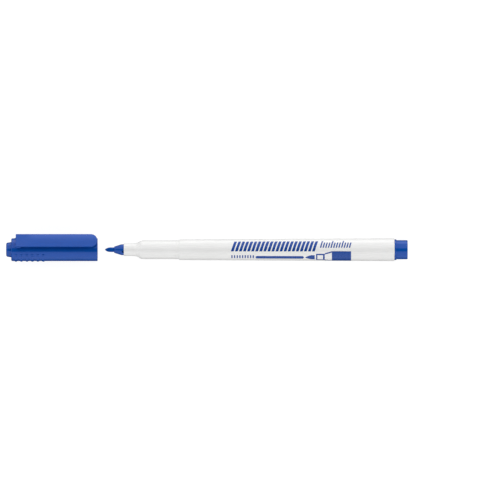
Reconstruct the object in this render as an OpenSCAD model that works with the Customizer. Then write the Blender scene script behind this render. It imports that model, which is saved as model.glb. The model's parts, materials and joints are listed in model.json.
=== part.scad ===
// Felt tip marker with its cap pulled off and lying in line with the nib.
// The pen lies along X with its nib towards -X, and z = 0 is the surface under the cap's
// lowest row of grip nubs. Stations along the pen are measured from the nib's point, and
// stations along the cap from the end of its stub.

/* [Nib and holder] */
// Diameter of the fibre nib
nib_d = 2.1; // [1.8:0.1:2.2]
// Length of the nib's bullet point
nib_point = 2.4; // [1.6:0.1:3]
// Length of nib that stands out of its holder
nib_reach = 4.2; // [3.4:0.1:5]
// Depth that the nib runs behind the nose face, into the ink reservoir
nib_depth = 17.5; // [15:0.5:20]
// Diameter of the holder's front edge
holder_front_d = 2.9; // [2.7:0.1:3.2]
// Diameter of the holder's rim against the nose
holder_rim_d = 4.9; // [4.4:0.1:5]
// Length of the holder's cone
holder_cone = 3.15; // [2.6:0.05:3.6]
// Length of the holder's rim
holder_rim = 1.15; // [0.9:0.05:1.4]
// Length of the holder's shank inside the nose
holder_shank = 6.5; // [5:0.5:6.5]

/* [Barrel] */
// Diameter of the nose
nose_d = 5.7; // [5.4:0.1:5.8]
// Length of the nose's straight part
nose_len = 4.6; // [4.5:0.1:5.5]
// Length of the flare between the nose and the cap seat
flare_len = 4.3; // [3.4:0.1:4.6]
// Steepest slope of the flare
flare_angle = 30; // [28:1:35]
// Diameter of the cap seat
seat_d = 8.4; // [8.2:0.1:8.5]
// Length of the cap seat
seat_len = 16; // [15:0.5:18]
// Diameter of the barrel at its front shoulder
barrel_front_d = 9.3; // [9.2:0.1:9.6]
// Diameter of the barrel at its rear end
barrel_rear_d = 10.2; // [9.9:0.1:10.3]
// Length of the barrel behind the shoulder
barrel_len = 96.9; // [85:0.1:105]
// Number of ribs that hold the reservoir off the barrel's wall
rib_count = 6; // [3:1:8]

/* [End plug] */
// Diameter of the plug's flange
flange_d = 9.3; // [9:0.1:9.6]
// Thickness of the flange
flange_len = 0.9; // [0.7:0.1:1.2]
// Diameter of the post that the cap can be pushed onto
post_d = 8.6; // [8.4:0.1:8.7]
// Length of the post
post_len = 5; // [4:0.1:6]

/* [Cap] */
// Outer diameter of the cap
cap_d = 10.24; // [10.2:0.02:10.6]
// Bore of the cap's mouth
cap_bore_d = 8.84; // [8.8:0.02:8.9]
// Length of the cap's shell
cap_len = 38.8; // [38.8:0.1:41]
// Thickness of the shell's end wall
end_wall = 1.2; // [1:0.1:1.5]
// Diameter of the inner cap's stub where it leaves the end wall
stub_d = 6.9; // [6.7:0.1:7]
// Length of the stub
stub_len = 2.3; // [1.8:0.1:2.8]
// Free distance between the cap's mouth and the nib's point
cap_gap = 3.3; // [1:0.1:10]

/* [Clip] */
// Width of the clip
clip_w = 7.2; // [6.4:0.1:7.4]
// Thickness of the clip
clip_t = 1.2; // [1:0.1:1.4]
// Distance from the pen's axis to the middle of the clip's outer face
clip_reach = 7.5; // [7.4:0.1:7.8]
// Rise of the clip's outer face between its edges and its middle
clip_crown = 0.25; // [0.1:0.05:0.3]
// Length of the clip with its root
clip_len = 36.6; // [30:0.1:36.6]
// Length of the root that joins the clip to the cap
root_len = 2.2; // [1.8:0.1:4]
// Width of the root
root_w = 4.4; // [3.5:0.1:5]
// Corner radius of the clip's tip
tip_r = 3; // [1.5:0.1:3.1]

/* [Grip nubs] */
// Nubs in each row along the cap
nub_cols = 6; // [3:1:8]
// Rows of nubs round the side away from the clip
nub_rows = 9; // [5:2:9]
// Distance between nubs along the cap
nub_pitch = 2.475; // [2:0.025:3]
// Height of a nub above the cap's wall
nub_proud = 0.3; // [0.2:0.05:0.35]
// Diameter of a nub at the wall
nub_base_d = 1.3; // [1:0.1:1.4]

/* [Hidden] */
$fn = 96;

snug = 0.02;          // radial gap between parts that are pressed or glued together
slide = 0.05;         // radial gap between parts that slide
arc_steps = 6;        // straight steps in a rounded edge of a turned profile
over = 1;             // how far a cut runs past a face
cut_touch = 0.2;      // how far a rib runs into the wall that it grows from

// Stations along the pen, from the nib's point
nose_s = nib_reach + holder_cone + holder_rim;
flare_s = nose_s + nose_len;
seat_s = flare_s + flare_len;
shoulder_s = seat_s + seat_len;
rear_s = shoulder_s + barrel_len;
post_s = rear_s + flange_len;
end_s = post_s + post_len;

// Inside the barrel
nose_bore_r = 2.1;
nose_bore_s = nose_s + 7;
ledge_r = 3.05;
ledge_s = seat_s + 2.5;
seat_bore_r = 3.4;
front_bore_r = 3.75;
front_bore_s = shoulder_s + 1.2;
rear_bore_r = 4.05;
plug_depth = 6.2;
strut_depth = 2.4;
film_r = 3.3;
film_wall = 0.1;
reservoir_s = ledge_s + 0.1;
reservoir_end_s = rear_s - plug_depth - strut_depth - 0.1;

// Stations along the cap, from the stub's end
shell_c = stub_len;
mouth_c = shell_c + cap_len;
clip_c = shell_c + 2.05;
hinge_c = clip_c + root_len;
clip_end_c = clip_c + clip_len;
first_nub_c = shell_c + 2.07;
seat_gap = 0.1;       // what is left between the mouth and the shoulder when the cap is on
cap_on = mouth_c + seat_gap - shoulder_s;   // adds to a station on the capped pen
seal_c = nose_s + cap_on - 0.5;
inner_end_c = flare_s + cap_on - 0.3;
seal_r = nose_d / 2 + slide;
inner_r = seal_r + 0.75;
cavity_r = holder_rim_d / 2 + 0.15;
fin_turns = [45, 135, 225, 315];    // from the clip's middle

// The clip and the nubs. Angles are from straight up, towards +Y
clip_roll = 36;
nub_step = 30;
nub_middle = 210;     // puts one row straight underneath and one straight to the side
clip_inner = clip_reach - clip_t;
nub_base_r = nub_base_d / 2;
nub_r = (nub_base_r ^ 2 + nub_proud ^ 2) / (2 * nub_proud);
nub_centre_r = cap_d / 2 + nub_proud - nub_r;
nub_angles = [for (i = [0:nub_rows - 1]) nub_middle + (i - (nub_rows - 1) / 2) * nub_step];

// The whole marker's box is centred on x and y, and stands on z = 0
stub_s = -cap_gap - mouth_c;
mid_s = (stub_s + end_s) / 2;
lowest = nub_centre_r * min([for (a = nub_angles) cos(a)]) - nub_r;
side_low = nub_centre_r * min([for (a = nub_angles) sin(a)]) - nub_r;
side_high = (clip_reach - clip_crown) * sin(clip_roll) + clip_w / 2 * cos(clip_roll);
axis_z = -lowest;
axis_y = -(side_low + side_high) / 2;

function arc(cx, cy, r, from, to) =
  [for (i = [0:arc_steps]) let (a = from + (to - from) * i / arc_steps) [cx + r * cos(a), cy + r * sin(a)]];

// Lays a part that was turned about Z along the pen, with its own zero at station s
module along(s) translate([s - mid_s, axis_y, axis_z]) rotate([0, 90, 0]) children();

// Turns a part about the pen's axis until its +X points at an angle from straight up
module roll(angle) rotate([0, 0, 180 - angle]) children();

module ring(outer_r, bore_r, from, to) {
  translate([0, 0, from]) difference() {
    cylinder(r = outer_r, h = to - from);
    translate([0, 0, -over]) cylinder(r = bore_r, h = to - from + 2 * over);
  }
}

// A rib that stands out from the axis between two radii
module rib(from_r, to_r, thickness, from, to) {
  translate([from_r, -thickness / 2, from]) cube([to_r - from_r, thickness, to - from]);
}

module barrel_outline() {
  nose_r = nose_d / 2;
  seat_r = seat_d / 2;
  front_r = barrel_front_d / 2;
  rear_r = barrel_rear_d / 2;
  nose_edge = 0.2;
  front_edge = 0.1;
  rear_edge = 0.4;
  bead_proud = 0.1;
  bead_s = shoulder_s - 1.2;
  flare_r = (flare_len - (seat_r - nose_r) / tan(flare_angle)) / (2 * tan(flare_angle / 2));
  polygon(concat(
    [[nose_bore_r, nose_s]],
    arc(nose_r - nose_edge, nose_s + nose_edge, nose_edge, -90, 0),
    arc(nose_r + flare_r, flare_s, flare_r, 180, 180 - flare_angle),
    arc(seat_r - flare_r, seat_s, flare_r, -flare_angle, 0),
    [[seat_r, bead_s - 0.3], [seat_r + bead_proud, bead_s - 0.1]],
    [[seat_r + bead_proud, bead_s + 0.1], [seat_r, bead_s + 0.3]],
    [[seat_r, shoulder_s], [front_r - front_edge, shoulder_s], [front_r, shoulder_s + front_edge]],
    arc(rear_r - rear_edge, rear_s - rear_edge, rear_edge, 0, 90),
    [[rear_bore_r, rear_s], [rear_bore_r, rear_s - plug_depth - 0.5]],
    [[front_bore_r, front_bore_s], [seat_bore_r, shoulder_s - 0.3], [seat_bore_r, ledge_s]],
    [[ledge_r, ledge_s], [ledge_r, nose_bore_s + 2], [nose_bore_r, nose_bore_s]]
  ));
}

// One white moulding: nose, cap seat and barrel, with ribs inside
module barrel() {
  rib_root_r = (barrel_front_d / 2 + front_bore_r) / 2;
  rib_s = front_bore_s + 0.5;
  rib_end_s = rear_s - plug_depth - 6;
  color("white") along(0) {
    rotate_extrude() barrel_outline();
    for (i = [0:rib_count - 1]) rotate([0, 0, i * 360 / rib_count])
      rib(film_r + snug, rib_root_r, 0.8, rib_s, rib_end_s);
  }
}

// Bullet nib of bonded fibre, whose tail reaches into the reservoir
module nib() {
  nib_r = nib_d / 2;
  blunt_r = 0.1;
  tail_r = 0.6 * nib_r;
  tail_s = nose_s + nib_depth;
  ogive_r = (nib_point ^ 2 + (nib_r - blunt_r) ^ 2) / (2 * (nib_r - blunt_r));
  color("navy") along(0) rotate_extrude() polygon(concat(
    [[0, 0]],
    arc(nib_r - ogive_r, nib_point, ogive_r, -asin(nib_point / ogive_r), 0),
    [[nib_r, tail_s - 2], [tail_r, tail_s], [0, tail_s]]
  ));
}

// Blue collar pushed into the nose, with grooves that let air into the barrel
module nib_holder() {
  bore_r = nib_d / 2 + snug;
  shank_r = nose_bore_r - snug;
  shank_end_s = nose_s + holder_shank;
  groove_w = 0.7;
  groove_floor_r = 1.4;
  groove_s = nose_s - 0.85;
  groove_angles = [-24, 96, 216];
  color("royalblue") along(0) difference() {
    rotate_extrude() polygon([
      [bore_r, nib_reach], [holder_front_d / 2, nib_reach],
      [holder_rim_d / 2, nib_reach + holder_cone], [holder_rim_d / 2, nose_s],
      [shank_r, nose_s], [shank_r, shank_end_s - 0.5],
      [shank_r - 0.2, shank_end_s], [bore_r, shank_end_s]
    ]);
    for (a = groove_angles) roll(a)
      rib(groove_floor_r, holder_rim_d, groove_w, groove_s, shank_end_s + over);
  }
}

// Bonded fibre rod that holds the ink, with a hole for the nib's tail
module ink_reservoir() {
  pocket_end_s = nose_s + nib_depth + 0.2;
  color("cornflowerblue") along(0) difference() {
    translate([0, 0, reservoir_s])
      cylinder(r = film_r - film_wall - snug, h = reservoir_end_s - reservoir_s);
    translate([0, 0, reservoir_s - over])
      cylinder(r = nib_d / 2 + snug, h = pocket_end_s - reservoir_s + over);
  }
}

// Film sleeve that the fibre rod is wrapped in
module reservoir_film() {
  color("lightcyan") along(0) ring(film_r, film_r - film_wall, reservoir_s, reservoir_end_s);
}

// Plug that closes the barrel, with a cross inside that keeps the reservoir forward
module end_plug() {
  shank_r = rear_bore_r - snug;
  hollow_r = 3.2;
  lead_in = 0.3;
  post_edge = 0.3;
  cross_t = 0.9;
  strut_r = 2.2;
  shank_s = rear_s - plug_depth;
  hollow_end_s = end_s - 1;
  color("royalblue") along(0) {
    rotate_extrude() polygon(concat(
      [[hollow_r, shank_s], [shank_r - lead_in, shank_s], [shank_r, shank_s + lead_in]],
      [[shank_r, rear_s], [flange_d / 2, rear_s], [flange_d / 2, post_s], [post_d / 2, post_s]],
      arc(post_d / 2 - post_edge, end_s - post_edge, post_edge, 0, 90),
      [[0, end_s], [0, hollow_end_s], [hollow_r, hollow_end_s]]
    ));
    for (turn = [0, 90]) rotate([0, 0, turn]) {
      rib(-hollow_r - cut_touch, hollow_r + cut_touch, cross_t, shank_s, hollow_end_s + cut_touch);
      rib(-strut_r, strut_r, cross_t, shank_s - strut_depth, shank_s + cut_touch);
    }
  }
}

module shell_outline() {
  end_edge = 0.5;
  mouth_edge = 0.15;
  cap_r = cap_d / 2;
  polygon(concat(
    [[0, shell_c]],
    arc(cap_r - end_edge, shell_c + end_edge, end_edge, -90, 0),
    arc(cap_r - mouth_edge, mouth_c - mouth_edge, mouth_edge, 0, 90),
    [[0, mouth_c]]
  ));
}

// Section of the clip. X is the distance from the pen's axis. The outer face is crowned, and the
// sides slope in below a narrow edge, so that the underside is narrower
module clip_section() {
  crown_r = ((clip_w / 2) ^ 2 + clip_crown ^ 2) / (2 * clip_crown);
  half = clip_w / 2;
  edge = 0.4;
  bevel = 0.5;
  edge_x = clip_reach - clip_crown - edge;
  intersection() {
    polygon([
      [clip_inner, bevel - half], [edge_x, -half], [clip_reach + over, -half],
      [clip_reach + over, half], [edge_x, half], [clip_inner, half - bevel]
    ]);
    translate([clip_reach - crown_r, 0]) circle(r = crown_r, $fn = 256);
  }
}

// Outline of the clip seen from above it, with a rounded tip
module clip_outline() {
  translate([clip_c, -clip_w / 2]) square([clip_len - tip_r, clip_w]);
  translate([clip_end_c - 2 * tip_r, tip_r - clip_w / 2]) square([2 * tip_r, clip_w - 2 * tip_r]);
  for (side = [-1, 1]) translate([clip_end_c - tip_r, side * (clip_w / 2 - tip_r)]) circle(r = tip_r);
}

// Openings in the end wall around the stub, with bridges between them
module air_slots() {
  slot_r = 4.15;
  bridge_w = 1.6;
  difference() {
    translate([0, 0, shell_c - over]) cylinder(r = slot_r, h = end_wall + 2 * over);
    for (a = fin_turns) roll(clip_roll + a) rib(0, cap_d, bridge_w, 0, shell_c + end_wall + 2 * over);
  }
}

// Outer cap with its grip nubs and the root of the clip
module cap_shell() {
  root_floor = 3.7;
  lead_in = 0.4;
  lead_in_r = 0.15;
  bore_r = cap_bore_d / 2;
  color("royalblue") along(stub_s) difference() {
    union() {
      rotate_extrude() shell_outline();
      for (a = nub_angles, col = [0:nub_cols - 1])
        roll(a) translate([nub_centre_r, 0, first_nub_c + col * nub_pitch]) sphere(r = nub_r, $fn = 32);
      roll(clip_roll) translate([0, 0, clip_c]) linear_extrude(root_len) {
        clip_section();
        translate([root_floor, -root_w / 2]) square([clip_inner - root_floor + cut_touch, root_w]);
      }
    }
    translate([0, 0, shell_c + end_wall]) cylinder(r = bore_r, h = cap_len);
    translate([0, 0, mouth_c - lead_in]) cylinder(r1 = bore_r, r2 = bore_r + lead_in_r, h = lead_in + 0.01);
    cylinder(r = stub_d / 2 + snug, h = shell_c + end_wall + over);
    air_slots();
  }
}

// Sealing tube inside the cap. Its closed end is the stub, and its fins centre it in the shell
module inner_cap() {
  stub_r = stub_d / 2;
  draft = 0.25;
  stub_edge = 0.75;
  stub_floor = 1;
  shelf_c = shell_c + end_wall + snug;
  lead_in = 0.4;
  color("royalblue") along(stub_s) {
    rotate_extrude() polygon(concat(
      [[0, 0]],
      arc(stub_r - draft - stub_edge, stub_edge, stub_edge, -90, 0),
      [[stub_r, shell_c], [stub_r, shelf_c], [inner_r, shelf_c], [inner_r, inner_end_c]],
      [[seal_r + 0.2, inner_end_c], [seal_r, inner_end_c - lead_in], [seal_r, seal_c]],
      [[cavity_r, seal_c - lead_in], [cavity_r, stub_floor], [0, stub_floor]]
    ));
    for (a = fin_turns) roll(clip_roll + a)
      rib(inner_r - cut_touch, cap_bore_d / 2 - snug, 0.8, shelf_c + 0.5, inner_end_c - 1);
  }
}

// Free length of the clip, which flexes at the end of its root
module cap_clip() {
  flex_gap = 0.1;
  start_c = hinge_c + flex_gap;
  bump_r = 1.5;
  bump_proud = 0.6;
  bump_c = clip_end_c - 3;
  color("royalblue") along(stub_s) roll(clip_roll) {
    intersection() {
      translate([0, 0, start_c]) linear_extrude(clip_end_c - start_c) clip_section();
      rotate([0, -90, 0]) mirror([0, 0, 1]) linear_extrude(clip_reach + over) clip_outline();
    }
    intersection() {
      translate([clip_inner + bump_r - bump_proud, 0, bump_c]) sphere(r = bump_r, $fn = 48);
      translate([clip_inner - bump_proud - over, 0, bump_c])
        rotate([0, 90, 0]) cylinder(r = 2 * bump_r, h = bump_proud + over + cut_touch);
    }
  }
}

barrel();
nib();
nib_holder();
ink_reservoir();
reservoir_film();
end_plug();
cap_shell();
inner_cap();
cap_clip();
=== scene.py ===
import json
import math

import bmesh
import bpy
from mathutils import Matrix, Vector, noise


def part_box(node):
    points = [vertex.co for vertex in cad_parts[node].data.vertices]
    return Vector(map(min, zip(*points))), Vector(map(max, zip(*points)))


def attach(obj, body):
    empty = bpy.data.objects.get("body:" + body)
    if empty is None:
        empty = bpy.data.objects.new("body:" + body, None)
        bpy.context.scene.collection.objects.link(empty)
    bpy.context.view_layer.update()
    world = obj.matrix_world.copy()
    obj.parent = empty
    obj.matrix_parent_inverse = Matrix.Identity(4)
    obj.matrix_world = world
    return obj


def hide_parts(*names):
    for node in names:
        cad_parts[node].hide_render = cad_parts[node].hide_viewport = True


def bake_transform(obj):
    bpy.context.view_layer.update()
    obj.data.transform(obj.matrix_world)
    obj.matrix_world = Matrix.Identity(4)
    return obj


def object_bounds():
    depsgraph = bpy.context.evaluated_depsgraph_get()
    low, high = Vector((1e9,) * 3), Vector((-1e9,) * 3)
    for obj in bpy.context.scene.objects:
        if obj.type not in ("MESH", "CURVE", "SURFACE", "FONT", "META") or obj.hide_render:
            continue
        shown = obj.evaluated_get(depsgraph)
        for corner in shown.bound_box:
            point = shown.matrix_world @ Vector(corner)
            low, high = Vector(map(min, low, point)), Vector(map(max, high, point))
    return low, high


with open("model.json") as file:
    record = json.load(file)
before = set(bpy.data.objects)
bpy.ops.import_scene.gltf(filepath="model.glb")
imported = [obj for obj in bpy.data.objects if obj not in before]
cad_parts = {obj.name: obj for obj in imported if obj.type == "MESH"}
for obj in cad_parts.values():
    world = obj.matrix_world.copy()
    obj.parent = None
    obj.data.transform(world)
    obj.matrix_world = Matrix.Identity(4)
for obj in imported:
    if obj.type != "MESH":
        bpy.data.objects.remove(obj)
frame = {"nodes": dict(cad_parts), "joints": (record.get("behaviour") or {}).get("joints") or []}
cad_box = [list(corner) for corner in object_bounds()]

MM = 0.001
SCENE = bpy.context.scene

# Where the CAD put things. A station is a distance in millimetres along the pen from the
# nib's point, and an angle about the pen is in degrees from straight up towards +Y.
barrel_low, barrel_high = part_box("barrel")
ZERO_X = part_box("nib")[0].x
AXIS_Y = (barrel_low.y + barrel_high.y) / 2
AXIS_Z = (barrel_low.z + barrel_high.z) / 2


def station(x):
    """The station of an x in metres."""
    return (x - ZERO_X) / MM


NIB_TAIL = station(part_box("nib")[1].x)
HOLDER_FRONT = station(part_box("nib_holder")[0].x)
HOLDER_END = station(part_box("nib_holder")[1].x)
NOSE = station(barrel_low.x)
REAR = station(barrel_high.x)
PLUG_STRUTS = 2.4
PLUG_SHANK = station(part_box("end_plug")[0].x) + PLUG_STRUTS
PLUG_END = station(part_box("end_plug")[1].x)
STUB = station(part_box("inner_cap")[0].x)
INNER_END = station(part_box("inner_cap")[1].x)
SHELL = station(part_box("cap_shell")[0].x)
MOUTH = station(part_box("cap_shell")[1].x)
CLIP_TIP = station(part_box("cap_clip")[1].x)

flex_joint = next(joint for joint in frame["joints"] if joint["name"] == "clip_flex")
HINGE_POINT = Vector(flex_joint["pos_m"])
HINGE = station(HINGE_POINT.x)
CLIP_ANGLE = math.degrees(math.atan2(HINGE_POINT.y - AXIS_Y, HINGE_POINT.z - AXIS_Z))

# Sizes in millimetres and angles in degrees, the same as the CAD model's. SNUG is how much smaller
# a piece is than the hole that holds it, and MOUTH_GAP is what stays open when the cap is on.
SNUG = 0.02
MOUTH_GAP = 0.1
NIB_R = 1.05
NIB_POINT = 2.4
HOLDER_FRONT_R = 1.45
HOLDER_RIM_R = 2.45
HOLDER_RIM = 1.15
NOSE_R = 2.85
NOSE_BORE_R = 2.1
NOSE_BORE_LEN = 7
LEDGE_R = 3.05
LEDGE_END = 9
NOSE_LEN = 4.6
FLARE_LEN = 4.3
FLARE_ANGLE = 30
SEAT_R = 4.2
SEAT_LEN = 16
SEAT_BORE_R = 3.4
FRONT_BORE_R = 3.75
BARREL_FRONT_R = 4.65
BARREL_REAR_R = 5.1
REAR_BORE_R = 4.05
REAR_BORE_LEN = 6.7
FLANGE_R = 4.65
FLANGE_LEN = 0.9
POST_R = 4.3
CAP_R = 5.12
CAP_BORE_R = 4.42
END_WALL = 1.2
STUB_R = 3.45
STUB_DRAFT = 0.25
SLOT_R = 4.15
INNER_R = 3.65
SEAL_R = 2.9
CAVITY_R = 2.6
CLIP_HALF = 3.6
CLIP_OUT = 7.5
CLIP_IN = 6.3
CLIP_CROWN = 0.25
CLIP_BEVEL = 0.5
CLIP_TIP_R = 3.0
ROOT_HALF = 2.2
ROOT_LEN = 2.2
ROOT_START = HINGE - ROOT_LEN
NUB_MIDDLE = 210
NUB_STEP = 30
NUB_ROWS = 9
NUB_COLS = 6
NUB_PITCH = 2.475
NUB_R = 0.854
NUB_CENTRE_R = 4.566
NUB_FIRST = 2.07
FLARE = NOSE + NOSE_LEN
SEAT = FLARE + FLARE_LEN
SHOULDER = SEAT + SEAT_LEN
FIN_ANGLES = [CLIP_ANGLE + turn for turn in (45, 135, 225, 315)]


# ---------------------------------------------------------------- mesh helpers

def spot(at, angle, radius):
    """The point at a station, an angle about the pen and a distance from its axis."""
    turn = math.radians(angle)
    y = AXIS_Y + radius * math.sin(turn) * MM
    z = AXIS_Z + radius * math.cos(turn) * MM
    return (ZERO_X + at * MM, y, z)


def arc(centre_s, centre_r, radius, start, stop, steps=6):
    """Points of an arc in the plane of station and radius. 0 degrees points along the pen."""
    turns = [math.radians(start + (stop - start) * i / steps) for i in range(steps + 1)]
    return [(centre_s + radius * math.cos(t), centre_r + radius * math.sin(t)) for t in turns]


def rounded(corners, radius, steps=4):
    """A line through corners in a plane, with every corner but the first and last rounded."""
    line = [corners[0]]
    for before, corner, after in zip(corners, corners[1:], corners[2:]):
        corner = Vector(corner)
        back = (Vector(before) - corner).normalized()
        ahead = (Vector(after) - corner).normalized()
        half = back.angle(ahead) / 2
        cut = radius / math.tan(half)
        centre = corner + (back + ahead).normalized() * radius / math.sin(half)
        first = (corner + back * cut - centre).normalized()
        last = (corner + ahead * cut - centre).normalized()
        for i in range(steps + 1):
            line.append(tuple(centre + first.slerp(last, i / steps) * radius))
    return line + [corners[-1]]


def spread(start, stop, step):
    """Evenly spaced numbers from start to stop, no further apart than step."""
    count = max(1, math.ceil(abs(stop - start) / step))
    return [start + (stop - start) * i / count for i in range(count + 1)]


def supported(outline, gap=0.05, longest=3.0):
    """Adds points just inside the ends of long straight stretches, so that edges shade cleanly."""
    points = []
    for (s0, r0), (s1, r1) in zip(outline, outline[1:]):
        length = math.hypot(s1 - s0, r1 - r0)
        points.append((s0, r0))
        if length > 4 * gap:
            for d in spread(gap, length - gap, longest):
                points.append((s0 + (s1 - s0) * d / length, r0 + (r1 - r0) * d / length))
    points.append(outline[-1])
    return points


def grid_faces(rows, cols, wrap_rows):
    """Quads of a grid whose columns close into a ring, and whose rows close too if wrap_rows is set."""
    faces = []
    for i in range(rows if wrap_rows else rows - 1):
        below = (i + 1) % rows
        for j in range(cols):
            right = (j + 1) % cols
            faces.append((i * cols + j, i * cols + right, below * cols + right, below * cols + j))
    return faces


def make_piece(name, points, faces, material, crease=38):
    """A closed, welded, smooth mesh object, sharp only where it turns by more than crease degrees."""
    mesh = bpy.data.meshes.new(name)
    mesh.from_pydata(points, [], faces)
    work = bmesh.new()
    work.from_mesh(mesh)
    bmesh.ops.remove_doubles(work, verts=work.verts, dist=1e-7)
    bmesh.ops.recalc_face_normals(work, faces=work.faces)
    work.to_mesh(mesh)
    work.free()
    mesh.polygons.foreach_set("use_smooth", [True] * len(mesh.polygons))
    mesh.set_sharp_from_angle(angle=math.radians(crease))
    mesh.materials.append(material)
    piece = bpy.data.objects.new(name, mesh)
    SCENE.collection.objects.link(piece)
    return piece


def turned(name, outline, angles, material, ring):
    """Turns an outline of (station, radius) about the pen. A radius may be a function of the angle.
    With ring set the outline closes on itself, and otherwise both its ends are on the axis."""
    points = []
    for at, radius in outline:
        for angle in angles:
            points.append(spot(at, angle, radius(angle) if callable(radius) else radius))
    return make_piece(name, points, grid_faces(len(outline), len(angles), ring), material)


def around(step, extra=()):
    """Angles of a full turn, with extra ones put in."""
    turns = {round(i * step, 4) for i in range(round(360 / step))}
    return sorted(turns | {round(angle % 360, 4) for angle in extra})


def off_centre(angle, centres):
    """How many degrees an angle is from the nearest of some others."""
    return min(abs((angle - centre + 180) % 360 - 180) for centre in centres)


def within(angle, centres, half):
    """Whether an angle is no more than half degrees from one of the centres."""
    return off_centre(angle, centres) < half + 0.1


def band_edges(centres, half, side):
    """The angles where bands round the centres begin and end, each with one more just outside it."""
    return [centre + sign * (half + gap) for centre in centres for sign in (-1, 1) for gap in (0, side)]


# ---------------------------------------------------------------- material helpers

def node(tree, kind, inputs=None, **settings):
    """Adds a node, sets its properties, and fills its inputs with values or links."""
    made = tree.nodes.new(kind)
    for key, value in settings.items():
        setattr(made, key, value)
    for key, value in (inputs or {}).items():
        if isinstance(value, bpy.types.NodeSocket):
            tree.links.new(value, made.inputs[key])
        else:
            made.inputs[key].default_value = value
    return made


def new_material(name):
    """An empty node material: its tree and its Principled shader."""
    material = bpy.data.materials.new(name)
    material.use_nodes = True
    tree = material.node_tree
    shader = next(n for n in tree.nodes if n.type == "BSDF_PRINCIPLED")
    return material, tree, shader


def stretched(tree, scale):
    """Object coordinates times a scale per metre along each axis."""
    coordinates = node(tree, "ShaderNodeTexCoord")
    return node(tree, "ShaderNodeMapping", {"Vector": coordinates.outputs["Object"], "Scale": scale})


def noise_value(tree, scale, detail=3.0, roughness=0.5):
    """Noise from 0 to 1 with so many waves a metre along each axis."""
    place = stretched(tree, scale).outputs["Vector"]
    inputs = {"Vector": place, "Scale": 1.0, "Detail": detail, "Roughness": roughness}
    return node(tree, "ShaderNodeTexNoise", inputs).outputs["Fac"]


def between(tree, value, low, high):
    """Maps a value of about 0.3 to 0.7 to a range."""
    inputs = {"Value": value, "From Min": 0.3, "From Max": 0.7, "To Min": low, "To Max": high}
    return node(tree, "ShaderNodeMapRange", inputs).outputs["Result"]


def mixed(tree, factor, first, second):
    """A colour between two others. Inputs 6 and 7 and output 2 are the mix node's colours."""
    mix = node(tree, "ShaderNodeMix", data_type="RGBA")
    tree.links.new(factor, mix.inputs["Factor"])
    mix.inputs[6].default_value = (*first, 1)
    mix.inputs[7].default_value = (*second, 1)
    return mix.outputs[2]


def bump(tree, heights):
    """Stacks bumps, each a height value and its depth in metres."""
    normal = None
    for height, depth in heights:
        inputs = {"Height": height, "Distance": depth, "Strength": 1.0}
        if normal:
            inputs["Normal"] = normal
        normal = node(tree, "ShaderNodeBump", inputs).outputs["Normal"]
    return normal


# ---------------------------------------------------------------- materials

def white_plastic():
    """Opaque white moulded polypropylene: faint clouding, fine draw lines and a satin gloss."""
    material, tree, shader = new_material("white_polypropylene")
    cloud = noise_value(tree, (60, 140, 140), 2.0)
    draw_lines = noise_value(tree, (120, 2600, 2600), 2.0)
    grain = noise_value(tree, (5200, 5200, 5200), 2.0)
    colour = mixed(tree, between(tree, cloud, 0, 1), (0.885, 0.885, 0.877), (0.91, 0.91, 0.905))
    tree.links.new(colour, shader.inputs["Base Color"])
    tree.links.new(between(tree, draw_lines, 0.26, 0.285), shader.inputs["Roughness"])
    normal = bump(tree, [(grain, 0.0000001), (draw_lines, 0.00000004)])
    tree.links.new(normal, shader.inputs["Normal"])
    shader.inputs["IOR"].default_value = 1.5
    shader.inputs["Specular IOR Level"].default_value = 0.75
    return material


def blue_plastic():
    """Blue moulded polypropylene: pigment clouds, flow lines along the pen, grain and rubbed spots."""
    material, tree, shader = new_material("blue_polypropylene")
    cloud = noise_value(tree, (160, 260, 260), 4.0)
    flow = noise_value(tree, (70, 900, 900), 4.0)
    grain = noise_value(tree, (4200, 4200, 4200), 2.0)
    rubbed = noise_value(tree, (900, 350, 350), 5.0, 0.7)
    colour = mixed(tree, between(tree, cloud, 0, 1), (0.0017, 0.070, 0.360), (0.0025, 0.078, 0.390))
    tree.links.new(colour, shader.inputs["Base Color"])
    gloss = node(tree, "ShaderNodeMath", {0: between(tree, flow, 0.15, 0.20)}, operation="ADD")
    tree.links.new(between(tree, rubbed, -0.01, 0.03), gloss.inputs[1])
    tree.links.new(gloss.outputs["Value"], shader.inputs["Roughness"])
    normal = bump(tree, [(grain, 0.0000002), (flow, 0.0000006)])
    tree.links.new(normal, shader.inputs["Normal"])
    shader.inputs["IOR"].default_value = 1.6
    shader.inputs["Specular IOR Level"].default_value = 0.8
    shader.inputs["Specular Tint"].default_value = (0.30, 0.33, 0.78, 1)
    return material


def nib_fibre():
    """Bonded polyester fibre soaked with blue ink: fine streaks along the nib and a dull wet sheen."""
    material, tree, shader = new_material("inked_fibre")
    fibres = noise_value(tree, (260, 9000, 9000), 3.0, 0.6)
    patches = noise_value(tree, (500, 900, 900), 3.0)
    soaked = mixed(tree, between(tree, fibres, 0, 1), (0.0004, 0.052, 0.29), (0.0012, 0.085, 0.42))
    tree.links.new(soaked, shader.inputs["Base Color"])
    tree.links.new(between(tree, patches, 0.45, 0.7), shader.inputs["Roughness"])
    tree.links.new(bump(tree, [(fibres, 0.000012)]), shader.inputs["Normal"])
    shader.inputs["Specular IOR Level"].default_value = 0.4
    shader.inputs["Specular Tint"].default_value = (0.1, 0.25, 0.8, 1)
    return material


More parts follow.
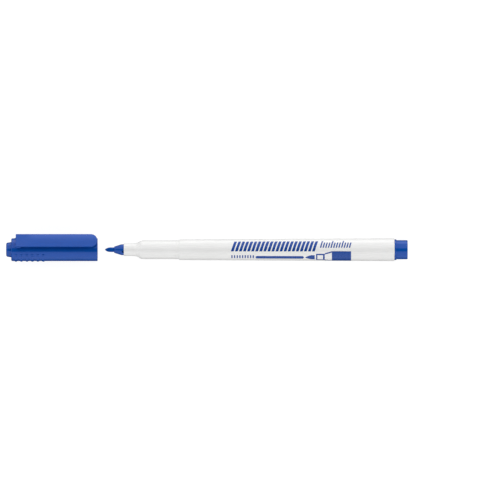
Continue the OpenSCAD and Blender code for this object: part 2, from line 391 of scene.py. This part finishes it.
def print_ink():
    """Blue pad-printed ink: a little uneven at the edge of the film, and satin."""
    material, tree, shader = new_material("print_ink")
    film = noise_value(tree, (2600, 2600, 2600), 3.0)
    colour = mixed(tree, between(tree, film, 0, 1), (0.0030, 0.050, 0.270), (0.0050, 0.058, 0.300))
    tree.links.new(colour, shader.inputs["Base Color"])
    tree.links.new(between(tree, film, 0.24, 0.36), shader.inputs["Roughness"])
    shader.inputs["IOR"].default_value = 1.6
    shader.inputs["Specular IOR Level"].default_value = 0.8
    shader.inputs["Specular Tint"].default_value = (0.34, 0.42, 0.85, 1)
    return material


def ink_fibre():
    """The reservoir's bonded fibre, pale where it holds less ink."""
    material, tree, shader = new_material("reservoir_fibre")
    fibres = noise_value(tree, (120, 4500, 4500), 4.0, 0.65)
    colour = mixed(tree, between(tree, fibres, 0, 1), (0.05, 0.11, 0.42), (0.12, 0.22, 0.60))
    tree.links.new(colour, shader.inputs["Base Color"])
    tree.links.new(between(tree, fibres, 0.6, 0.85), shader.inputs["Roughness"])
    tree.links.new(bump(tree, [(fibres, 0.00002)]), shader.inputs["Normal"])
    return material


def clear_film():
    """Thin clear film with faint wrinkles along the reservoir."""
    material, tree, shader = new_material("clear_film")
    wrinkles = noise_value(tree, (90, 1500, 1500), 3.0)
    colour = mixed(tree, between(tree, wrinkles, 0, 1), (0.82, 0.89, 0.93), (0.88, 0.94, 0.97))
    tree.links.new(colour, shader.inputs["Base Color"])
    tree.links.new(between(tree, wrinkles, 0.08, 0.2), shader.inputs["Roughness"])
    tree.links.new(bump(tree, [(wrinkles, 0.00002)]), shader.inputs["Normal"])
    shader.inputs["Alpha"].default_value = 0.35
    return material


def floor_paper():
    """Plain white paper that glows a little, so that it comes out pure white with a faint shadow."""
    material, tree, shader = new_material("floor_paper")
    fibre = noise_value(tree, (900, 900, 900), 4.0)
    colour = mixed(tree, between(tree, fibre, 0, 1), (0.265, 0.265, 0.265), (0.28, 0.28, 0.28))
    tree.links.new(colour, shader.inputs["Base Color"])
    shader.inputs["Roughness"].default_value = 0.9
    shader.inputs["Specular IOR Level"].default_value = 0.0
    shader.inputs["Emission Color"].default_value = (1, 1, 1, 1)
    shader.inputs["Emission Strength"].default_value = 0.86
    return material


WHITE = white_plastic()
BLUE = blue_plastic()
FIBRE = nib_fibre()
INK = print_ink()


def settle(piece, body, node_name):
    """Puts a piece on its body, in place of its CAD node."""
    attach(piece, body)
    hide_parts(node_name)


# ---------------------------------------------------------------- the pen

def barrel_taper(at):
    """The barrel's radius at a station behind the shoulder."""
    share = (at - SHOULDER) / (REAR - SHOULDER)
    return BARREL_FRONT_R + (BARREL_REAR_R - BARREL_FRONT_R) * share


def snap_bead():
    """The low bead round the seat that the cap snaps over: one wave of a cosine."""
    bead_s = SHOULDER - 1.2
    bead_half = 0.32
    bead_proud = 0.1
    bead = []
    for share in spread(-1, 1, 1 / 6):
        rise = bead_proud * math.cos(share * math.pi / 2) ** 2
        bead.append((bead_s + share * bead_half, SEAT_R + rise))
    return bead


def barrel_outside():
    """The barrel's outline from the nose's bore over the outside to its rear edge."""
    nose_edge = 0.2
    edge = 0.1
    rear_edge = 0.4
    bend = math.radians(FLARE_ANGLE)
    flare_r = (FLARE_LEN - (SEAT_R - NOSE_R) / math.tan(bend)) / (2 * math.tan(bend / 2))
    outline = [(NOSE, NOSE_BORE_R)]
    outline += arc(NOSE + nose_edge, NOSE_R - nose_edge, nose_edge, 180, 90)
    outline += arc(FLARE, NOSE_R + flare_r, flare_r, -90, FLARE_ANGLE - 90, 10)
    outline += arc(SEAT, SEAT_R - flare_r, flare_r, 90 + FLARE_ANGLE, 90, 10)
    outline += snap_bead()
    outline += arc(SHOULDER - edge, SEAT_R + edge, edge, -90, 0, 3)
    outline += arc(SHOULDER + edge, BARREL_FRONT_R - edge, edge, 180, 90, 4)
    outline += arc(REAR - rear_edge, BARREL_REAR_R - rear_edge, rear_edge, 90, 0, 8)
    return outline


def barrel_inside():
    """The barrel's outline from its rear edge back through its bores to the nose."""
    ledge_s = SEAT + 2.5
    taper_start = SHOULDER - 0.3
    taper_end = SHOULDER + 1.2
    outline = [(REAR, REAR_BORE_R), (REAR - REAR_BORE_LEN, REAR_BORE_R)]
    outline += [(taper_end, FRONT_BORE_R), (taper_start, SEAT_BORE_R)]
    outline += [(ledge_s, SEAT_BORE_R), (ledge_s, LEDGE_R), (NOSE + LEDGE_END, LEDGE_R)]
    outline += [(NOSE + NOSE_BORE_LEN, NOSE_BORE_R), (NOSE, NOSE_BORE_R)]
    return outline


def make_barrel():
    """Nose, flare, cap seat with its snap bead, shoulder and tapered grip, hollow inside."""
    outline = barrel_outside() + barrel_inside()
    outline = supported(outline, longest=6)[:-1]
    piece = turned("barrel_body", outline, around(2.5), WHITE, ring=True)
    settle(piece, "pen", "barrel")


def make_nib():
    """Bullet nib of bonded fibre, with the fibres' ends and runs just raised."""
    blunt = 0.1
    tail_len = 2
    tail_r = 0.6 * NIB_R
    ogive = (NIB_POINT ** 2 + (NIB_R - blunt) ** 2) / (2 * (NIB_R - blunt))
    reach = math.degrees(math.asin(NIB_POINT / ogive))
    outline = arc(NIB_POINT, NIB_R - ogive, ogive, 90 + reach, 90, 20)
    outline += [(at, NIB_R) for at in spread(NIB_POINT, NIB_TAIL - tail_len, 0.8)[1:]]
    outline += [(NIB_TAIL, tail_r)]
    raised = 0.016
    sunk = 0.6 * raised
    waves_round = 9
    waves_along = 0.55

    def fibrous(at, radius):
        def at_angle(angle):
            turn = math.radians(angle)
            across = (math.cos(turn) * waves_round, math.sin(turn) * waves_round)
            return radius + raised * noise.noise(Vector((*across, at * waves_along))) - sunk
        return at_angle

    rows = [(0, 0)] + [(at, fibrous(at, radius)) for at, radius in outline] + [(NIB_TAIL, 0)]
    piece = turned("fibre_nib", rows, around(2), FIBRE, ring=False)
    settle(piece, "pen", "nib")


def make_holder():
    """Cone that holds the nib, with its rim and the notches that let air into the barrel."""
    bore_r = NIB_R + SNUG
    shank_r = NOSE_BORE_R - SNUG
    notch_floor = 1.4
    notch_s = NOSE - 0.85
    notch_angles = (-24, 96, 216)
    notch_half = 9
    notch_side = 0.4
    lip = 0.06
    rim_lip = 0.1
    back_lip = 0.03
    lead_len = 0.5
    lead_in = 0.2
    rim_s = NOSE - HOLDER_RIM

    def notched(radius):
        return lambda angle: notch_floor if within(angle, notch_angles, notch_half) else radius

    cone = [(HOLDER_FRONT, bore_r)]
    cone += arc(HOLDER_FRONT + lip, HOLDER_FRONT_R - lip, lip, 180, 110, 3)
    cone += arc(rim_s + rim_lip, HOLDER_RIM_R - rim_lip, rim_lip, 105, 90, 2)
    cone += [(notch_s, HOLDER_RIM_R)]
    cone = supported(cone, 0.04, 0.6)
    rim = [(notch_s + 0.02, HOLDER_RIM_R)]
    rim += [(NOSE - back_lip, HOLDER_RIM_R), (NOSE, HOLDER_RIM_R - back_lip)]
    shank = [(NOSE, shank_r), (HOLDER_END - lead_len, shank_r), (HOLDER_END, shank_r - lead_in)]
    outline = cone + [(at, notched(radius)) for at, radius in rim + shank]
    outline += [(HOLDER_END, bore_r)]
    edges = band_edges(notch_angles, notch_half, notch_side)
    piece = turned("holder_cone", outline, around(4, edges), BLUE, ring=True)
    settle(piece, "pen", "nib_holder")


def gate_mark():
    """A shallow round dent in the plug's end, with the stub of the moulding gate in its middle."""
    dent_r = 1.1
    dent_edge = 0.06
    floor_s = PLUG_END - 0.14
    pip_s = PLUG_END - 0.1
    pip_r = 0.3
    pip_edge = 0.08
    mark = arc(PLUG_END - dent_edge, dent_r + dent_edge, dent_edge, 0, -90, 2)
    mark += [(floor_s, dent_r), (floor_s, pip_r + 0.1)]
    mark += arc(pip_s, pip_r, pip_edge, 90, 0, 3)
    mark += [(pip_s + pip_edge, 0)]
    return mark


def make_plug():
    """Flange, hollow post with a rounded edge, and a small gate mark in the middle of its end."""
    hollow_r = 3.2
    shank_r = REAR_BORE_R - SNUG
    lead = 0.3
    post_s = REAR + FLANGE_LEN
    post_edge = 0.3
    flange_edge = 0.18
    hollow_end = PLUG_END - 1
    outline = [(hollow_end, 0), (hollow_end, hollow_r), (PLUG_SHANK, hollow_r)]
    outline += [(PLUG_SHANK, shank_r - lead), (PLUG_SHANK + lead, shank_r), (REAR, shank_r)]
    outline += arc(REAR + flange_edge, FLANGE_R - flange_edge, flange_edge, 180, 90, 5)
    outline += arc(post_s - flange_edge, FLANGE_R - flange_edge, flange_edge, 90, 0, 5)
    outline += [(post_s, POST_R)]
    outline += arc(PLUG_END - post_edge, POST_R - post_edge, post_edge, 90, 0, 6)
    outline += gate_mark()
    outline = supported(outline, 0.04, 2.5)
    piece = turned("rear_plug", outline, around(3), BLUE, ring=False)
    settle(piece, "pen", "end_plug")


# ---------------------------------------------------------------- the cap

def smooth_max(a, b, blend):
    """The larger of two values, rounded where they are close."""
    share = max(blend - abs(a - b), 0) / blend
    return max(a, b) + share * share * blend / 4


NUB_ANGLES = [NUB_MIDDLE + (row - (NUB_ROWS - 1) / 2) * NUB_STEP for row in range(NUB_ROWS)]
NUB_STATIONS = [SHELL + NUB_FIRST + col * NUB_PITCH for col in range(NUB_COLS)]


def nub_rise(at, angle):
    """How far the grip nubs stand out of the cap's wall at a place, with a soft foot."""
    foot = 0.05
    along = min(abs(at - centre) for centre in NUB_STATIONS)
    across = math.radians(off_centre(angle, NUB_ANGLES)) * CAP_R
    reach = NUB_R ** 2 - along ** 2 - across ** 2
    if reach <= 0:
        return 0
    return smooth_max(NUB_CENTRE_R + math.sqrt(reach) - CAP_R, 0, foot)


def make_cap():
    """Outer cap: end wall with air slots, rounded end, grip nubs, and a mouth with a lead-in."""
    end_edge = 0.5
    end_face_r = 4.4
    mouth_edge = 0.15
    lead_in = 0.4
    lead_in_r = 0.2
    lip = 0.05
    bridge_half = 12
    bridge_side = 0.25
    fine = 0.09
    coarse = 2

    def skin(at, radius):
        return lambda angle: radius + nub_rise(at, angle)

    def slotted(angle):
        return STUB_R + SNUG if within(angle, FIN_ANGLES, bridge_half) else SLOT_R

    nubs_end = NUB_STATIONS[-1] + NUB_R
    corner = arc(SHELL + end_edge, CAP_R - end_edge, end_edge, 180, 90, 8)
    wall = [(at, CAP_R) for at in spread(SHELL + end_edge, nubs_end, fine)[1:]]
    wall += [(at, CAP_R) for at in spread(nubs_end, MOUTH - mouth_edge - lip, coarse)[1:]]
    wall += arc(MOUTH - mouth_edge, CAP_R - mouth_edge, mouth_edge, 90, 0, 5)
    inside = [(MOUTH, CAP_BORE_R + lead_in_r), (MOUTH - lip, CAP_BORE_R + lead_in_r - lip)]
    inside += [(MOUTH - lead_in, CAP_BORE_R), (SHELL + END_WALL, CAP_BORE_R)]
    outline = [(SHELL, slotted), (SHELL, end_face_r)]
    outline += [(at, skin(at, radius)) for at, radius in corner + wall]
    outline += supported(inside, 0.05, 4)
    outline += [(SHELL + END_WALL, slotted)]
    sides = band_edges(FIN_ANGLES, bridge_half, bridge_side)
    piece = turned("cap_body", outline, around(1, sides), BLUE, ring=True)
    settle(piece, "cap", "cap_shell")


def make_inner_cap():
    """Sealing tube: the stub that shows at the cap's end, the nib's chamber, the seal and four fins."""
    stub_edge = 0.75
    dent = 0.12
    dent_r = 0.9
    shelf = SHELL + END_WALL + SNUG
    nose_s = MOUTH + MOUTH_GAP - (SHOULDER - NOSE)
    seal_s = nose_s - 0.5
    seal_lead = 0.4
    seal_lead_r = 0.2
    fin_s = shelf + 0.5
    fin_end = INNER_END - 1
    fin_half = 6.3
    fin_side = 0.4
    step = 0.02
    floor_s = STUB + 1

    def finned(radius):
        return lambda angle: CAP_BORE_R - SNUG if within(angle, FIN_ANGLES, fin_half) else radius

    outer = [(STUB + dent, 0), (STUB + dent, dent_r), (STUB, dent_r + 0.1)]
    outer += arc(STUB + stub_edge, STUB_R - STUB_DRAFT - stub_edge, stub_edge, 180, 92, 8)
    outer += [(SHELL, STUB_R), (shelf, STUB_R), (shelf, INNER_R), (fin_s, INNER_R)]
    fins = [(fin_s + step, INNER_R), (fin_end - step, INNER_R)]
    tail = [(fin_end, INNER_R), (INNER_END, INNER_R), (INNER_END, SEAL_R + seal_lead_r)]
    tail += [(INNER_END - seal_lead, SEAL_R), (seal_s, SEAL_R), (seal_s - seal_lead, CAVITY_R)]
    tail += [(floor_s, CAVITY_R), (floor_s, 0)]
    outline = supported(outer, 0.05, 1)
    outline += [(at, finned(radius)) for at, radius in fins]
    outline += supported(tail, 0.05, 4)
    edges = band_edges(FIN_ANGLES, fin_half, fin_side)
    piece = turned("sealing_cap", outline, around(3, edges), BLUE, ring=False)
    settle(piece, "cap", "inner_cap")


# ---------------------------------------------------------------- the clip

def clip_spot(at, across, out):
    """A point of the clip: station, distance to the side, and distance out from the pen's axis."""
    turn = math.radians(CLIP_ANGLE)
    y = AXIS_Y + (out * math.sin(turn) + across * math.cos(turn)) * MM
    z = AXIS_Z + (out * math.cos(turn) - across * math.sin(turn)) * MM
    return (ZERO_X + at * MM, y, z)


def clip_ring():
    """The clip's plan, once round. Each entry is the centre of a rounded corner, or a point on a
    straight edge, with a radius, a direction out, and whether it is on the tip, where the bevelled
    edge runs round. Entries are closer together near the tip, for the bump under it."""
    rear_r = 0.3
    rear_s = ROOT_START + rear_r
    rear_half = CLIP_HALF - rear_r
    fine_s = CLIP_TIP - 6
    tip_half = CLIP_HALF - CLIP_TIP_R
    tip_s = CLIP_TIP - CLIP_TIP_R
    side = [(rear_s, rear_half, rear_r, turn, False) for turn in spread(180, 90, 18)]
    side += [(at, CLIP_HALF, 0, 90, False) for at in spread(rear_s, fine_s, 0.7)[1:]]
    side += [(at, CLIP_HALF, 0, 90, False) for at in spread(fine_s, tip_s, 0.16)[1:-1]]
    side += [(tip_s, tip_half, CLIP_TIP_R, turn, True) for turn in spread(90, 0, 6)]
    side += [(CLIP_TIP, across, 0, 0, True) for across in spread(tip_half, 0, 0.2)[1:]]
    back = [(at, -across, radius, -turn, tip) for at, across, radius, turn, tip in reversed(side[:-1])]
    rear = [(ROOT_START, across, 0, 180, False) for across in spread(-rear_half, rear_half, 0.5)[1:-1]]
    return side + back + rear


def clip_top(at, across):
    """How far out the clip's outer face is: flat at its root, and crowned from just past the hinge."""
    crown_start = HINGE + 1
    crown_len = 6
    crown_half = CLIP_HALF - 0.2
    share = min(max((at - crown_start) / crown_len, 0), 1)
    crown = CLIP_CROWN * share * share * (3 - 2 * share)
    return CLIP_OUT - CLIP_CROWN + crown * (1 - min(abs(across) / crown_half, 1) ** 2)


def clip_under(at, across):
    """How far out the clip's underside is: flat, with a round bump near the tip."""
    bump_r = 1.5
    bump_proud = 0.6
    bump_s = CLIP_TIP - 3
    foot = 0.15
    reach = bump_r ** 2 - (at - bump_s) ** 2 - across ** 2
    if reach <= 0:
        return CLIP_IN
    return CLIP_IN - smooth_max(math.sqrt(reach) - bump_r + bump_proud, 0, foot)


def clip_levels():
    """Steps from the middle of the outer face over its edge, down the sloping side and back along
    the underside. Each is: on the underside or not, the share of the way out from the middle, and
    the inset and drop there. The side starts a little outside the plan, and rounding brings it in."""
    face_in = 0.6
    side_out = 0.12
    edge_r = 0.22
    under_in = CLIP_BEVEL + 0.3
    deep = CLIP_OUT - CLIP_CROWN - CLIP_IN
    corners = [(face_in, 0), (-side_out, 0), (CLIP_BEVEL, deep), (under_in, deep)]
    side = supported(rounded(corners, edge_r, 8), 0.05, 1)[:-1]
    levels = [(False, share, face_in, 0) for share in (0, 0.2, 0.4, 0.6, 0.8, 0.92, 0.98)]
    levels += [(False, 1, inset, drop) for inset, drop in side]
    levels += [(True, share, under_in, 0) for share in spread(1, 0, 1 / 16)]
    return levels


def make_clip():
    """The clip's plate, from the root's start to its tip."""
    ring = clip_ring()
    levels = clip_levels()
    rear_edge = 0.12
    middle_start = ROOT_START + 2.6
    middle_end = CLIP_TIP - CLIP_TIP_R
    points = []
    for under, share, inset, drop in levels:
        rear_inset = 0 if under else max(rear_edge - drop, 0)
        narrow = 1 - (inset - rear_inset) / CLIP_HALF
        for at, across, radius, turn, tip in ring:
            t = math.radians(turn)
            left = radius - (inset if tip else rear_inset)
            edge_s = at + left * math.cos(t)
            edge_t = (across + left * math.sin(t)) * (1 if tip else narrow)
            middle_s = min(max(edge_s, middle_start), middle_end)
            here_s = middle_s + (edge_s - middle_s) * share
            here_t = edge_t * share
            out = clip_under(here_s, here_t) if under else clip_top(here_s, here_t) - drop
            points.append(clip_spot(here_s, here_t, out))
    piece = make_piece("clip_blade", points, grid_faces(len(levels), len(ring), False), BLUE)
    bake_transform(piece)
    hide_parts("cap_clip")


def root_ring(corner_r):
    """The root's plan, once round: the centre of each rounded corner, and directions out from it."""
    set_in = 0.02
    half_len = ROOT_LEN / 2 - set_in
    ring = []
    for turn, side_s, side_t in ((0, 1, 1), (90, -1, 1), (180, -1, -1), (270, 1, -1)):
        centre_s = side_s * (half_len - corner_r)
        centre_t = side_t * (ROOT_HALF - corner_r)
        ring += [(centre_s, centre_t, math.radians(t)) for t in spread(turn, turn + 90, 15)]
    return ring


def root_levels():
    """The root's side from inside the cap's wall up into the clip. Each level is: on the clip or not,
    the rise from that surface, and how far the side flares out there."""
    low_r = 0.2
    high_r = 0.3
    sunk = 0.1
    levels = [(False, -sunk, low_r)]
    for t in map(math.radians, spread(0, 90, 15)):
        levels.append((False, low_r * (1 - math.cos(t)), low_r * (1 - math.sin(t))))
    for t in map(math.radians, spread(90, 0, 15)):
        levels.append((True, -high_r * (1 - math.cos(t)), high_r * (1 - math.sin(t))))
    return levels + [(True, sunk, high_r)]


def make_clip_root():
    """The short web between the clip and the cap, with rounded corners where it meets both. Its rear
    side doesn't flare at the clip, so that it stays under the plate."""
    corner_r = 0.3
    ring = root_ring(corner_r)
    levels = root_levels()
    middle_s = ROOT_START + ROOT_LEN / 2
    points = []
    for top, rise, flare in levels:
        for corner_s, corner_t, t in ring:
            flare_s = 0 if top and math.cos(t) < -0.1 else flare
            here_s = middle_s + corner_s + (corner_r + flare_s) * math.cos(t)
            here_t = corner_t + (corner_r + flare) * math.sin(t)
            base = CLIP_IN if top else math.sqrt(CAP_R ** 2 - here_t ** 2)
            points.append(clip_spot(here_s, here_t, base + rise))
    faces = grid_faces(len(levels), len(ring), False)
    faces.append(tuple(range(len(ring))))
    faces.append(tuple(reversed(range(len(points) - len(ring), len(points)))))
    piece = make_piece("clip_root", points, faces, BLUE)
    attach(piece, "cap")


# ---------------------------------------------------------------- printing on the barrel

# Plain marks stand where a marker has its printing. Each starts at a station and runs between two
# angles about the pen, and its ink stands this far proud of the barrel and reaches this far into it.
INK_PROUD = 0.012
INK_SUNK = 0.02


def ink_shape(low, high, rows, edges, columns):
    """One printed shape as the points and faces of a thin closed film. Its rows run from angle low
    to angle high by a share of the way, and edges gives a row's first and last station."""
    points = []
    for proud in (INK_PROUD, -INK_SUNK):
        for share in rows:
            first, last = edges(share)
            for column in range(columns):
                at = first + (last - first) * column / (columns - 1)
                points.append(spot(at, low + (high - low) * share, barrel_taper(at) + proud))
    tall = len(rows)
    layer = tall * columns
    faces = []
    for i in range(tall - 1):
        for j in range(columns - 1):
            a = i * columns + j
            b = a + columns
            faces.append((a, a + 1, b + 1, b))
            faces.append((layer + b, layer + b + 1, layer + a + 1, layer + a))
    rim = list(range(columns))
    rim += [i * columns + columns - 1 for i in range(1, tall)]
    rim += [layer - 1 - j for j in range(1, columns)]
    rim += [i * columns for i in range(tall - 2, 0, -1)]
    for a, b in zip(rim, rim[1:] + rim[:1]):
        faces.append((b, a, layer + a, layer + b))
    return points, faces


def ink_patch(start, length, low, high, slant=0.0, corner=0.0):
    """A printed patch with round corners. Its top edge is shifted along the pen by the slant."""
    rise = math.radians(high - low) * BARREL_FRONT_R
    corner = min(corner, rise / 2, length / 2)
    ups = set(spread(corner, rise - corner, 0.25)) | {0, rise}
    for turn in (15, 30, 45, 60, 75) if corner else ():
        step = corner * (1 - math.cos(math.radians(turn)))
        ups |= {step, rise - step}

    def edges(share):
        near = min(share, 1 - share) * rise
        inset = corner - math.sqrt(max(corner ** 2 - (corner - near) ** 2, 0)) if near < corner else 0
        first = start + slant * share
        return first + inset, first + length - inset

    rows = [up / rise for up in sorted(ups)]
    columns = max(3, min(13, round(length) + 1))
    return ink_shape(low, high, rows, edges, columns)


def ink_bullet(tip, length, low, high, point):
    """A printed nib: a pointed end of some length, then a straight body."""
    fullness = 1.6

    def edges(share):
        return tip + point * abs(2 * share - 1) ** fullness, tip + length

    return ink_shape(low, high, spread(0, 1, 0.05), edges, 5)


def print_piece(name, patches):
    """Joins printed shapes into one piece that rides on the pen."""
    points, faces = [], []
    for patch_points, patch_faces in patches:
        shift = len(points)
        points += patch_points
        faces += [tuple(shift + i for i in face) for face in patch_faces]
    piece = make_piece(name, points, faces, INK, crease=30)
    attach(piece, "pen")


def print_hatching():
    """Broad slanted bars, where a marker has its name."""
    first, length = 56.7, 39.3
    low, high = -9, 50
    bars, bar, slant = 21, 1.24, 1.6
    pitch = (length - slant - bar) / (bars - 1)
    marks = [ink_patch(first + i * pitch, bar, low, high, slant, 0.12) for i in range(bars)]
    print_piece("print_hatching", marks)


def print_fine_hatching():
    """Fine slanted bars, with every fourth one taller."""
    first, length = 96.7, 13.6
    low, short_high, tall_high = 10, 40, 52
    bars, bar, lean = 12, 0.6, 0.0225
    pitch = (length - bar) / (bars - 1)
    marks = []
    for i in range(bars):
        high = short_high if i % 4 else tall_high
        marks.append(ink_patch(first + i * pitch, bar, low, high, lean * (high - low), 0.05))
    print_piece("print_fine_hatching", marks)


def print_ticks():
    """A row of short upright ticks, where a marker gives its line width."""
    first, pitch, tick, ticks = 56.9, 1.2, 0.55, 9
    low, high = -52, -31
    marks = [ink_patch(first + i * pitch, tick, low, high, 0, 0.05) for i in range(ticks)]
    print_piece("print_ticks", marks)


def print_line_sample():
    """One long line with round ends, ahead of the printed nib."""
    first, length = 67.8, 21.7
    low, high = -55, -36
    print_piece("print_line_sample", [ink_patch(first, length, low, high, 0, 0.9)])


def print_nib_outline():
    """A nib and its holder seen from the side: a point, a box, a cone in outline and a solid block."""
    box_s, box_len, box_low, box_high = 95.0, 3.9, -68, -22
    block_s, block_len, block_low, block_high = 102.1, 8.65, -82, -8
    line, rim, slope = 0.6, 0.75, 2
    low_line, high_line, cone_line = 7, 8, 4
    box_end = box_s + box_len
    inner_s = box_s + line
    inner_len = box_len - line - rim
    cone_rows = spread(0, 1, 0.05)

    def cone_top(share):
        first = box_s + slope + (block_s - box_s - slope - 0.05) * share
        return max(first, box_end), min(first + slope, block_s)

    def cone_bottom(share):
        return cone_top(1 - share)

    marks = [ink_bullet(90.2, 4.2, -60, -30, 2.6)]
    marks.append(ink_patch(box_s, line, box_low, box_high))
    marks.append(ink_patch(box_end - rim, rim, box_low, box_high))
    marks.append(ink_patch(inner_s, inner_len, box_low, box_low + low_line))
    marks.append(ink_patch(inner_s, inner_len, box_high - high_line, box_high))
    marks.append(ink_shape(box_high - cone_line, block_high, cone_rows, cone_top, 5))
    marks.append(ink_shape(block_low, box_low + cone_line, cone_rows, cone_bottom, 5))
    marks.append(ink_patch(block_s, block_len, block_low, block_high, 0, 0.1))
    print_piece("print_nib_outline", marks)


# ---------------------------------------------------------------- camera, light and floor

def make_camera():
    """Looks straight down from far off with a long lens, as for a product photograph."""
    distance = 5.0
    view_width = 0.225
    sensor = 36
    sideways = 19.395 * MM
    aside = 0.135 * MM
    middle_x = (cad_box[0][0] + cad_box[1][0]) / 2
    data = bpy.data.cameras.new("camera")
    data.sensor_width = sensor
    data.lens = sensor * distance / view_width
    camera = bpy.data.objects.new("camera", data)
    camera.location = (middle_x + sideways, AXIS_Y - aside, AXIS_Z + distance)
    SCENE.collection.objects.link(camera)
    SCENE.camera = camera


# White in the ramp of the tent's walls stands for TENT_TOP, and TENT_LIGHT is how strongly it shines
TENT_TOP = 2.0
TENT_LIGHT = 2.74


def world_ramp(tree, turn, stops, top):
    """A value by direction, as a share of top. Each stop is an angle in degrees from straight up
    towards +Y, and the value there."""
    ramp = node(tree, "ShaderNodeValToRGB", {"Fac": turn})
    ramp.color_ramp.interpolation = "LINEAR"
    elements = ramp.color_ramp.elements
    while len(elements) > 1:
        elements.remove(elements[-1])
    for i, (degrees, value) in enumerate(stops):
        element = elements.new((degrees + 180) / 360) if i else elements[0]
        element.position = (degrees + 180) / 360
        element.color = (value / top,) * 3 + (1,)
    return ramp.outputs["Color"]


def world_math(tree, operation, *values):
    """One operation of arithmetic in the world's node tree."""
    return node(tree, "ShaderNodeMath", dict(enumerate(values)), operation=operation).outputs["Value"]


def world_step(tree, value, start, stop, low, high):
    """A value that goes from low to high as another goes from start to stop."""
    inputs = {"Value": value, "From Min": start, "From Max": stop, "To Min": low, "To Max": high}
    return node(tree, "ShaderNodeMapRange", inputs).outputs["Result"]


def make_light_tent():
    """White tent all round, darker low down, with a gap overhead where the camera looks in and a
    bright panel low on +Y."""
    world = bpy.data.worlds.new("light_tent")
    SCENE.world = world
    world.use_nodes = True
    tree = world.node_tree
    background = next(n for n in tree.nodes if n.type == "BACKGROUND")
    direction = node(tree, "ShaderNodeTexCoord").outputs["Generated"]
    axes = node(tree, "ShaderNodeSeparateXYZ", {"Vector": direction})
    angle = world_math(tree, "ARCTAN2", axes.outputs["Y"], axes.outputs["Z"])
    turn = world_step(tree, angle, -math.pi, math.pi, 0, 1)
    walls = [(-180, 0.02), (-132, 0.03), (-110, 0.35), (-92, 0.82), (-60, 0.93)]
    walls += [(60, 0.93), (88, 0.9), (125, 0.32), (155, 0.08), (180, 0.02)]
    gap = [(-28, 0), (-18, 1), (13, 1), (23, 0)]
    panel = [(72, 0), (84, 1), (106, 1), (118, 0)]
    tent = world_ramp(tree, turn, walls, TENT_TOP)
    along = world_math(tree, "ABSOLUTE", axes.outputs["X"])
    gap_end = world_step(tree, along, 0.78, 0.9, 1, 0)
    panel_end = world_step(tree, axes.outputs["X"], -0.3, -0.2, 0, 1)
    dark = world_math(tree, "MULTIPLY", world_ramp(tree, turn, gap, 1), gap_end)
    bright = world_math(tree, "MULTIPLY", world_ramp(tree, turn, panel, 1), panel_end)
    lit = world_math(tree, "MULTIPLY", tent, world_math(tree, "SUBTRACT", 1.0, dark))
    total = world_math(tree, "MULTIPLY_ADD", bright, 0.34, lit)
    tree.links.new(total, background.inputs["Color"])
    background.inputs["Strength"].default_value = TENT_LIGHT


def make_floor():
    """A plain white floor under the pen, which neither lights the pen nor mirrors in it."""
    half = 3.0
    mesh = bpy.data.meshes.new("floor")
    corners = [(-half, -half, 0), (half, -half, 0), (half, half, 0), (-half, half, 0)]
    mesh.from_pydata(corners, [], [(0, 1, 2, 3)])
    mesh.materials.append(floor_paper())
    floor = bpy.data.objects.new("floor", mesh)
    SCENE.collection.objects.link(floor)
    floor.visible_diffuse = False
    floor.visible_glossy = False


def finish_cad_nodes():
    """The reservoir and its film keep their CAD shape, with materials of their own."""
    for name, material in (("ink_reservoir", ink_fibre()), ("reservoir_film", clear_film())):
        kept = frame["nodes"][name]
        kept.data.materials.clear()
        kept.data.materials.append(material)


make_camera()
make_light_tent()
make_floor()
make_barrel()
make_nib()
make_holder()
make_plug()
make_cap()
make_inner_cap()
make_clip()
make_clip_root()
print_hatching()
print_fine_hatching()
print_ticks()
print_line_sample()
print_nib_outline()
finish_cad_nodes()
SCENE.view_settings.view_transform = "Standard"
